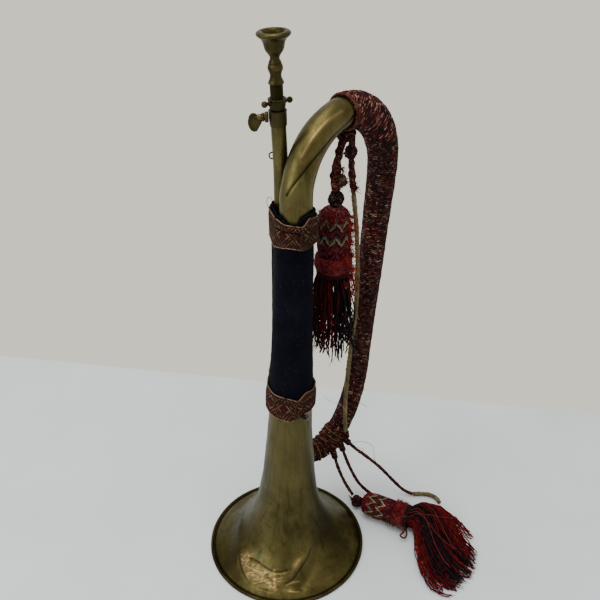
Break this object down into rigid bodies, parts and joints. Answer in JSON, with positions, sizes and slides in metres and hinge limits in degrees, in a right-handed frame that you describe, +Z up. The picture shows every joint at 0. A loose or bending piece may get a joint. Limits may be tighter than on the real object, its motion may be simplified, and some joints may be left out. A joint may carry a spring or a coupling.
{
  "type": "bugle",
  "caption": "Single-loop brass bugle on its bell, with a cloth-bound grip, corded tube cover, clamped mouthpiece and corded tassels.",
  "frame": {"origin": "centre of the rigid instrument's footprint, on the surface that the bell's rim stands on", "axes": "+Z up along the bell, +X from the bell towards the branch tube, +Y to the side that the mouthpipe climbs on"},
  "size_m": [0.2388, 0.2566, 0.5206],
  "materials": {
    "brass": "satin, browned",
    "brass_light": "worn satin",
    "brass_dark": "dark tarnish",
    "cloth_navy": "matt woollen cloth",
    "cord_cover": "corded, matt",
    "woven_band": "woven, matt",
    "cord_bare": "twisted jute cord",
    "tassel_red": "woollen",
    "tassel_dark": "woollen threads"
  },
  "bodies": {
    "instrument": {"bell": "brass", "bell_rim": "brass_light", "bell_joint_sleeve": "brass", "top_bow": "brass", "branch_top_sleeve": "brass", "branch_tube": "brass", "branch_foot_sleeve": "brass", "bottom_bow": "brass", "pipe_foot_ferrule": "brass", "mouthpipe": "brass", "upper_brace": "brass", "lower_brace": "brass", "receiver_sleeve": "brass", "screw_boss": "brass", "chain_eye": "brass_dark", "grip_wrap": "cloth_navy", "upper_band": "woven_band", "lower_band": "woven_band", "bow_cover": "cord_cover", "branch_cover": "cord_cover", "bottom_bow_cover": "cord_cover", "bottom_bow_winding": "cord_cover", "cord_hitch": "cord_cover", "core_knot": "cord_cover", "core_cord": "cord_bare", "lower_cord_a": "cord_cover", "lower_cord_b": "cord_cover", "lower_cord_c": "cord_cover", "cord_tail": "cord_bare", "lying_knot": "cord_cover", "lying_head": "tassel_red", "lying_band": "tassel_red", "lying_fringe": "tassel_dark"},
    "tuning_shank": {"tuning_shank": "brass_dark"},
    "mouthpiece": {"mouthpiece": "brass_light"},
    "clamp_nut": {"clamp_nut": "brass", "nut_arm_far": "brass", "nut_arm_near": "brass"},
    "thumb_screw": {"thumb_screw": "brass_dark"},
    "hanging_tassel": {"hanger_left": "cord_cover", "hanger_right": "cord_cover", "hanger_fray_knot": "cord_cover", "hanging_knot": "cord_cover", "hanging_head": "tassel_red", "hanging_band": "tassel_red", "hanging_fringe": "tassel_dark"}
  },
  "joints": [
    {"name": "tuning_slide", "type": "slide", "parent": "instrument", "child": "tuning_shank", "axis": [-0.0599, -0.0024, 0.9982], "range_m": [0, 0.03]},
    {"name": "mouthpiece_pull", "type": "slide", "parent": "tuning_shank", "child": "mouthpiece", "axis": [-0.0599, -0.0024, 0.9982], "range_m": [0, 0.025]},
    {"name": "clamp_nut_turn", "type": "hinge", "parent": "instrument", "child": "clamp_nut", "pos_m": [-0.01874, 0.02038, 0.4604], "axis": [-0.0599, -0.0024, 0.9982], "range_deg": [-180, 180]},
    {"name": "thumb_screw_turn", "type": "hinge", "parent": "instrument", "child": "thumb_screw", "pos_m": [-0.01838, 0.0204, 0.4545], "axis": [-0.6412, 0.7665, -0.0366], "range_deg": [-180, 180]},
    {"name": "tassel_swing", "type": "hinge", "parent": "instrument", "child": "hanging_tassel", "pos_m": [0.04135, 0, 0.4265], "axis": [1, 0, 0], "range_deg": [-30, 30]}
  ]
}
